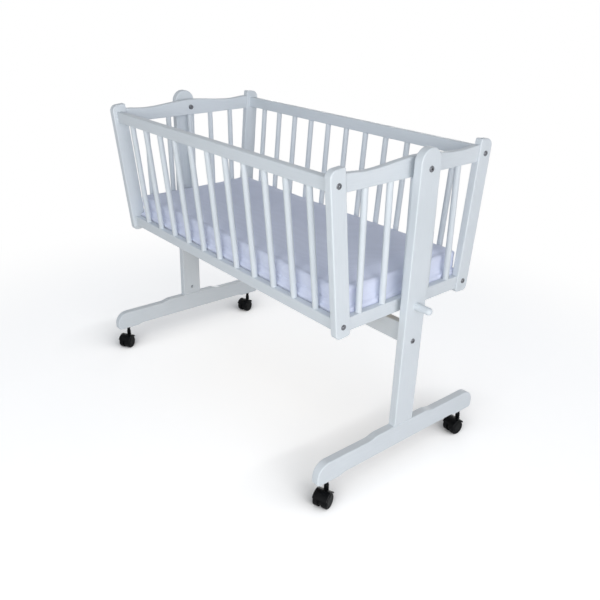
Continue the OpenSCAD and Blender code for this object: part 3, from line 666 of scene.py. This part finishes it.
def share(value, start, run):
    """From 0 at start to 1 at start + run."""
    return np.clip((value - start) / run, 0, 1)


def bell(distance, width):
    return np.exp(-(distance / width) ** 2)


def shrunk_copy():
    """A level copy of the mattress's solid, a little smaller, on z = 0 about x = y = 0, and the way back."""
    low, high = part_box("mattress")
    middle = (low.x + high.x) / 2
    obj = linked("mattress_sewn", nodes["mattress"].data.copy())
    obj.data.transform(SWUNG.inverted())
    base = min(v.co.z for v in obj.data.vertices)
    obj.data.transform(Matrix.Translation((-middle, 0, -base)))
    obj.data.transform(Matrix.Diagonal((1 - SHRINK_SIDE / MATTRESS_HALF_X, 1 - SHRINK_SIDE / MATTRESS_HALF_Y,
                                        1 - SHRINK_TOP / MATTRESS_T, 1)))
    return obj, SWUNG @ Matrix.Translation((middle, 0, base))


def remeshed(obj):
    cut = obj.modifiers.new("remesh", "REMESH")
    cut.mode = "VOXEL"
    cut.voxel_size = VOXEL * MM
    finished(obj)


def swollen(obj):
    """Blows the cover up with the cloth solver, its underside held flat, and gives each point's move."""
    rest = coords(obj)
    held = obj.vertex_groups.new(name="held")
    held.add([int(i) for i in np.nonzero(rest[:, 2] < HELD_BELOW * MM)[0]], 1.0, "REPLACE")
    cloth = obj.modifiers.new("cloth", "CLOTH")
    settings = cloth.settings
    settings.use_pressure = True
    settings.uniform_pressure_force = PRESSURE
    settings.vertex_group_mass = "held"
    settings.effector_weights.gravity = 0.0
    settings.quality = CLOTH_QUALITY
    settings.tension_stiffness = STRETCH_STIFFNESS
    settings.compression_stiffness = STRETCH_STIFFNESS
    settings.bending_stiffness = BEND_STIFFNESS
    cloth.collision_settings.use_collision = False
    cloth.collision_settings.use_self_collision = False
    cloth.point_cache.frame_start, cloth.point_cache.frame_end = 1, CLOTH_FRAMES
    for at in range(1, CLOTH_FRAMES + 1):
        scene.frame_set(at)
    graph = bpy.context.evaluated_depsgraph_get()
    mesh = obj.evaluated_get(graph).to_mesh()
    now = np.empty(len(mesh.vertices) * 3)
    mesh.vertices.foreach_get("co", now)
    obj.evaluated_get(graph).to_mesh_clear()
    obj.modifiers.remove(cloth)
    obj.vertex_groups.clear()
    scene.frame_set(1)
    return now.reshape(-1, 3) - rest


def capped(move, rest):
    """The move, held to little along the mattress's edges and to more in the middle of its panels."""
    x, y, z = (rest[:, i] / MM for i in range(3))
    to_faces = np.sort(np.stack([MATTRESS_HALF_X - np.abs(x), MATTRESS_HALF_Y - np.abs(y),
                                 np.minimum(z, MATTRESS_T - z)]), axis=0)
    to_edge = np.maximum(to_faces[1], 0.0)
    cap = (EDGE_CAP + (PANEL_CAP - EDGE_CAP) * (1 - np.exp(-to_edge / CAP_RUN))) * MM
    length = np.linalg.norm(move, axis=1)
    return move * (cap * np.tanh(length / cap) / np.maximum(length, 1e-9))[:, None]


def waisted(co):
    """Draws the long sides in a little, keeps the underside flat and presses the near end flat."""
    inward = WAIST * np.sqrt(np.clip(1 - np.abs(co[:, 0]) / MATTRESS_HALF_X, 0, 1))
    co[:, 1] -= np.sign(co[:, 1]) * inward * (np.abs(co[:, 1]) > WAIST_FROM_Y)
    co[:, 2] = np.maximum(co[:, 2], 0.0)
    near_panel = ((co[:, 0] > MATTRESS_HALF_X - NEAR_PANEL_X)
                  & (np.abs(co[:, 2] - NEAR_PANEL_Z) < NEAR_PANEL_HALF))
    co[near_panel, 0] = np.maximum(co[near_panel, 0], np.median(co[near_panel, 0]))
    return co


def relaxed(obj):
    smooth = obj.modifiers.new("relax", "CORRECTIVE_SMOOTH")
    smooth.iterations = RELAX_STEPS
    smooth.use_only_smooth = True
    finer = obj.modifiers.new("finer", "SUBSURF")
    finer.levels = finer.render_levels = 1
    finished(obj)


def square_rim(co, axis, sign):
    """Draws the rim along one side out, from round towards a superellipse's nearly square corner."""
    across, along, z = sign * co[:, axis], co[:, 1 - axis], co[:, 2]
    bins = np.floor((along - BIN_START) / RIM_BIN).astype(int)
    wall = np.zeros(bins.max() + 1)
    flank = (z > WALL_LOW_Z) & (z < WALL_HIGH_Z)
    np.maximum.at(wall, bins[flank], across[flank])
    lid = np.zeros_like(wall)
    inside = (across > wall[bins] - LID_FROM) & (across < wall[bins] - LID_TO) & (z > LID_LOW_Z)
    np.maximum.at(lid, bins[inside], z[inside])
    a, b = RIM_R - (wall[bins] - across), RIM_R - (lid[bins] - z)
    rim = (a > 0) & (b > 0) & (lid[bins] > 0)
    a, b = a[rim], b[rim]
    out = np.hypot(a, b) / (a ** RIM_POWER + b ** RIM_POWER) ** (1 / RIM_POWER)
    co[rim, axis] += sign * a * (out - 1)
    co[rim, 2] += b * (out - 1)


def squared(co):
    """Gives the cover a foam slab's form: a low crown, a square rim, one corner out and one end sagging."""
    inset = np.minimum(MATTRESS_HALF_X - np.abs(co[:, 0]), MATTRESS_HALF_Y - np.abs(co[:, 1]))
    inset = np.clip(inset, 0, None)
    crown = CROWN * np.sin(np.clip(inset / MATTRESS_HALF_Y, 0, 1) * np.pi / 2)
    puff = PUFF * (1 - np.exp(-inset / PUFF_RUN))
    co[:, 2] = np.minimum(co[:, 2], MATTRESS_T + crown + puff)
    for axis in (1, 0):
        for sign in (-1, 1):
            square_rim(co, axis, sign)
    corner = (co[:, 1] > 0) * share(co[:, 0], CORNER_FROM, CORNER_RUN)
    co[:, 1] += CORNER_OUT * np.sin(corner * np.pi / 2) * share(co[:, 1], 0.0, MATTRESS_HALF_Y) ** 4
    back = share(co[:, 1], SAG_FROM_Y, SAG_RUN_Y)
    end = share(co[:, 0], SAG_FROM_X, SAG_RUN_X)
    sag = END_SAG * np.sin(back * np.pi / 2) * end ** 2 * (3 - 2 * end)
    co[:, 2] -= sag * share(co[:, 2], 0.0, MATTRESS_T)
    return co


def soft_waves(u, v, seed, count, lengths):
    """A sum of soft waves over u and v, in mm, of about unit height."""
    rng = np.random.default_rng(seed)
    total = np.zeros_like(u)
    for _ in range(count):
        length = rng.uniform(*lengths)
        turn = rng.uniform(0, 2 * np.pi)
        phase = rng.uniform(0, 2 * np.pi)
        total += np.sin((u * np.cos(turn) + v * np.sin(turn)) * 2 * np.pi / length + phase)
    return total / math.sqrt(count)


def seam_height(x, along, z, flatness):
    """The seam round both long sides and the far end: a groove with a lip, pulled in and puckered."""
    steep = 1 - np.clip(flatness * SEAM_STEEPNESS, 0, 1)
    side = steep * share(-x, SEAM_GAP - MATTRESS_HALF_X, SEAM_FADE)
    rise = z - SEAM_Z - sum(height * np.sin(along / length) for height, length in SEAM_WANDER)
    groove = LIP_H * bell(rise + LIP_BELOW, LIP_W) - GROOVE_DEPTH * bell(rise, GROOVE_W)
    shift = PUCKER_SHIFT * np.sin(along / PUCKER_SHIFT_LENGTH)
    pucker = PUCKER_H * np.sin(along / PUCKER_LENGTH + shift) * bell(rise, PUCKER_REACH)
    return side * (groove + pucker - PULL_DEPTH * bell(rise, PULL_REACH))


def uneven_height(x, y, z, along, top, flatness):
    over = TOP_UNEVEN * soft_waves(x, y, **TOP_WAVES) * top
    return over + SIDE_UNEVEN * soft_waves(along, z * SIDE_SQUEEZE, **SIDE_WAVES) * (1 - flatness)


def sew(obj):
    """Sews the seam, bulges the long sides between the spindles and makes the cover a bit uneven."""
    obj.data.update()
    co = coords(obj)
    normals = vertex_normals(obj)
    x, y, z = (co[:, i] / MM for i in range(3))
    facing_x, facing_y, flatness = (np.abs(normals[:, i]) for i in range(3))
    top = np.clip(normals[:, 2], 0, 1)
    along = np.where(facing_y > facing_x, x, y)
    pressed = bell(x - SPINDLE_PITCH * np.round(x / SPINDLE_PITCH), PRESS_RUN)
    room = np.where(y < 0, BULGE, BACK_BULGE) * facing_y * (facing_y > BULGE_FACING)
    bulge = room * (1 - pressed) * share(z, 0.0, BULGE_FULL_Z)
    height = seam_height(x, along, z, flatness) + uneven_height(x, y, z, along, top, flatness) + bulge
    front_rim = np.clip(1 - (MATTRESS_HALF_Y + y) / RIM_RUN, 0, 1) * top * (y < 0)
    co = co + normals * height[:, None] * MM
    co[:, 2] -= PRESS_DIP * MM * pressed * front_rim
    set_coords(obj, co)


def seated(co):
    """Fills the foot of the slab out, and keeps the cover within reach of its solid and off the board."""
    low = np.clip(1 - co[:, 2] / LOW_FILL_RISE, 0, 1)
    co[:, 0] *= 1 + low * LOW_FILL_X / MATTRESS_HALF_X
    co[:, 1] *= 1 + low * LOW_FILL_Y / MATTRESS_HALF_Y
    limit_x = MATTRESS_HALF_X + COVER_ROOM + LOW_ROOM_X * low
    co[:, 0] = np.clip(co[:, 0], -limit_x, limit_x)
    limit_y = MATTRESS_HALF_Y + COVER_ROOM + LOW_ROOM_Y * low
    limit_y -= LOW_INSET * np.clip(1 - co[:, 2] / LOW_INSET_RISE, 0, 1)
    room = np.maximum(BULGE, CORNER_OUT * (co[:, 0] > CORNER_FROM))
    limit_y += room * share(co[:, 2], 0.0, BULGE_FROM_Z)
    co[:, 1] = np.clip(co[:, 1], -limit_y, limit_y)
    co[:, 2] = np.maximum(co[:, 2], UNDERSIDE_Z)
    return co


def make_mattress():
    obj, home = shrunk_copy()
    remeshed(obj)
    co = coords(obj)
    co = co + capped(swollen(obj), co)
    set_coords(obj, waisted(co / MM) * MM)
    relaxed(obj)
    set_coords(obj, squared(coords(obj) / MM) * MM)
    sew(obj)
    set_coords(obj, seated(coords(obj) / MM) * MM)
    obj.data.transform(home)
    return obj


mattress = make_mattress()
mattress.data.materials.clear()
mattress.data.materials.append(COVER)
mattress.data.polygons.foreach_set("use_smooth", [True] * len(mattress.data.polygons))
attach(mattress, "cradle")
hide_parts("mattress")


# ---------------------------------------------------------------- floor and world

FLOOR_HALF = 60.0
FLOOR_GREY_LOW, FLOOR_GREY_HIGH = 0.71, 0.73
FLOOR_LIFT = 0.56

# The lift fades where things within reach hide the floor from this direction, and is gone where the share
# that is still open is down to the low value: a painted shadow by the feet, away from the key lamp
FLOOR_OPEN_TO = (0.85, -0.35, 0.45)
FLOOR_OPEN_REACH = 0.22
FLOOR_OPEN_LOW = 0.62
FLOOR_OPEN_SAMPLES = 16

# Distances from the middle between which the floor turns white
FLOOR_WHITE_FROM, FLOOR_WHITE_AT = 0.8, 1.7

WORLD_STRENGTH = 0.355
WORLD_RGB = (0.87, 0.92, 1.0)


def seen_rays(tree):
    """1 where the surface is seen, by the camera, in a reflection or through glass, and 0 where it lights."""
    path = tree.nodes.new("ShaderNodeLightPath")
    direct = maths(tree, "MAXIMUM", path.outputs["Is Camera Ray"], path.outputs["Is Glossy Ray"])
    return maths(tree, "MAXIMUM", direct, path.outputs["Is Transmission Ray"])


def painted_contact_shadow(tree):
    """1 on the open floor, and less in the corner of something that stands on it, as a painted shadow."""
    opened = tree.nodes.new("ShaderNodeVectorMath")
    opened.operation = "NORMALIZE"
    opened.inputs[0].default_value = FLOOR_OPEN_TO
    open_share = add(tree, "ShaderNodeAmbientOcclusion", Distance=FLOOR_OPEN_REACH)
    open_share.samples = FLOOR_OPEN_SAMPLES
    tree.links.new(opened.outputs["Vector"], open_share.inputs["Normal"])
    deeper = tree.nodes.new("ShaderNodeMapRange")
    deeper.inputs["From Min"].default_value = FLOOR_OPEN_LOW
    deeper.inputs["From Max"].default_value = 1.0
    tree.links.new(open_share.outputs["AO"], deeper.inputs["Value"])
    return deeper.outputs["Result"]


def far_share(tree):
    """From 0 under the cradle to 1 out where the floor is to be white."""
    where = tree.nodes.new("ShaderNodeTexCoord")
    far = add(tree, "ShaderNodeVectorMath", operation="LENGTH")
    tree.links.new(where.outputs["Object"], far.inputs[0])
    away = add(tree, "ShaderNodeMapRange", interpolation_type="SMOOTHSTEP")
    away.inputs["From Min"].default_value = FLOOR_WHITE_FROM
    away.inputs["From Max"].default_value = FLOOR_WHITE_AT
    tree.links.new(far.outputs["Value"], away.inputs["Value"])
    return away.outputs["Result"]


def floor_material():
    """A pale floor that keeps the shadow, lifted by a glow where it is seen, with a painted shadow where
    that glow fades near things, and plain white far out.
    """
    material, tree, shader = new_material("floor_white")
    cloud = noise(tree, coordinates(tree, UNSTRETCHED), 0.8, 2.0)
    tree.links.new(grey_ramp(tree, cloud, FLOOR_GREY_LOW, FLOOR_GREY_HIGH), shader.inputs["Base Color"])
    shader.inputs["Roughness"].default_value = 0.9
    shader.inputs["Specular IOR Level"].default_value = 0.1
    seen = seen_rays(tree)
    glow = tree.nodes.new("ShaderNodeEmission")
    # The glow where the floor is seen, faded near things that stand on it into a painted shadow
    lift = maths(tree, "MULTIPLY", maths(tree, "MULTIPLY", seen, painted_contact_shadow(tree)), FLOOR_LIFT)
    tree.links.new(lift, glow.inputs["Strength"])
    shaded = tree.nodes.new("ShaderNodeAddShader")
    tree.links.new(shader.outputs[0], shaded.inputs[0])
    tree.links.new(glow.outputs[0], shaded.inputs[1])
    white = add(tree, "ShaderNodeEmission", Strength=1.0)
    blend = tree.nodes.new("ShaderNodeMixShader")
    tree.links.new(maths(tree, "MULTIPLY", far_share(tree), seen), blend.inputs[0])
    tree.links.new(shaded.outputs[0], blend.inputs[1])
    tree.links.new(white.outputs[0], blend.inputs[2])
    tree.links.new(blend.outputs[0], tree.nodes["Material Output"].inputs["Surface"])
    return material


def floor_and_backdrop():
    bm = bmesh.new()
    bmesh.ops.create_grid(bm, x_segments=1, y_segments=1, size=FLOOR_HALF)
    floor = linked("floor", mesh_of("floor", bm))
    floor.data.materials.append(floor_material())


def world():
    """A dim, slightly cool sky that lights, and plain white where it is seen."""
    studio = bpy.data.worlds.new("studio")
    scene.world = studio
    studio.use_nodes = True
    tree = studio.node_tree
    tree.nodes.clear()
    light = add(tree, "ShaderNodeBackground", Strength=WORLD_STRENGTH, Color=(*WORLD_RGB, 1.0))
    white = add(tree, "ShaderNodeBackground", Strength=1.0, Color=(*WHITE, 1.0))
    blend = tree.nodes.new("ShaderNodeMixShader")
    tree.links.new(seen_rays(tree), blend.inputs[0])
    tree.links.new(light.outputs[0], blend.inputs[1])
    tree.links.new(white.outputs[0], blend.inputs[2])
    out = tree.nodes.new("ShaderNodeOutputWorld")
    tree.links.new(blend.outputs[0], out.inputs["Surface"])


# ---------------------------------------------------------------- lamps and camera

# The camera that was solved from the photograph: its place in mm, its turn, and its focal length and
# picture centre in pixels of the photograph
CAMERA_AT = Vector((1385.91, -1121.46, 1086.98)) * MM
CAMERA_AZ, CAMERA_EL, CAMERA_ROLL = math.radians(49.2485), math.radians(24.4222), math.radians(1.9414)
CAMERA_F_PX, CAMERA_CX, CAMERA_CY = 679.26, 301.96, 302.68
FRAME_PX = 600.0
SENSOR_W = 36.0
CLIP_NEAR, CLIP_FAR = 0.05, 200.0


def area_light(name, place, target, size, power, colour):
    data = bpy.data.lights.new(name, "AREA")
    data.shape = "RECTANGLE"
    data.size, data.size_y = size
    data.energy = power
    data.color = colour
    lamp = linked(name, data)
    lamp.location = place
    lamp.rotation_euler = (Vector(target) - Vector(place)).to_track_quat("-Z", "Y").to_euler()


def camera():
    data = bpy.data.cameras.new("camera")
    data.sensor_fit = "HORIZONTAL"
    data.sensor_width = SENSOR_W
    data.lens = CAMERA_F_PX / FRAME_PX * SENSOR_W
    data.shift_x = (FRAME_PX / 2 - CAMERA_CX) / FRAME_PX
    data.shift_y = (CAMERA_CY - FRAME_PX / 2) / FRAME_PX
    data.clip_start, data.clip_end = CLIP_NEAR, CLIP_FAR
    data.dof.use_dof = False
    cam = linked("camera", data)
    a, e = CAMERA_AZ, CAMERA_EL
    look = Vector((-math.sin(a) * math.cos(e), math.cos(a) * math.cos(e), -math.sin(e)))
    right = Vector((math.cos(a), math.sin(a), 0.0))
    up = right.cross(look)
    right_rolled = math.cos(CAMERA_ROLL) * right + math.sin(CAMERA_ROLL) * up
    up_rolled = -math.sin(CAMERA_ROLL) * right + math.cos(CAMERA_ROLL) * up
    turn = Matrix((right_rolled, up_rolled, -look)).transposed().to_4x4()
    cam.matrix_world = Matrix.Translation(CAMERA_AT) @ turn
    scene.camera = cam


floor_and_backdrop()
world()
area_light("key", place=(4.1, -1.3, 1.5), target=(0.1, 0.0, 0.45), size=(2.8, 1.4), power=80.0,
           colour=(1.0, 0.985, 0.98))
area_light("fill", place=(1.4, -2.4, 1.1), target=(0.2, -0.1, 0.45), size=(1.6, 1.1), power=25.0,
           colour=(0.98, 1.0, 0.985))
area_light("back", place=(-3.0, 3.4, 0.5), target=(0.0, 0.0, 0.5), size=(3.2, 0.8), power=62.0,
           colour=(1.0, 0.99, 0.98))
camera()

scene.view_settings.view_transform = "Standard"
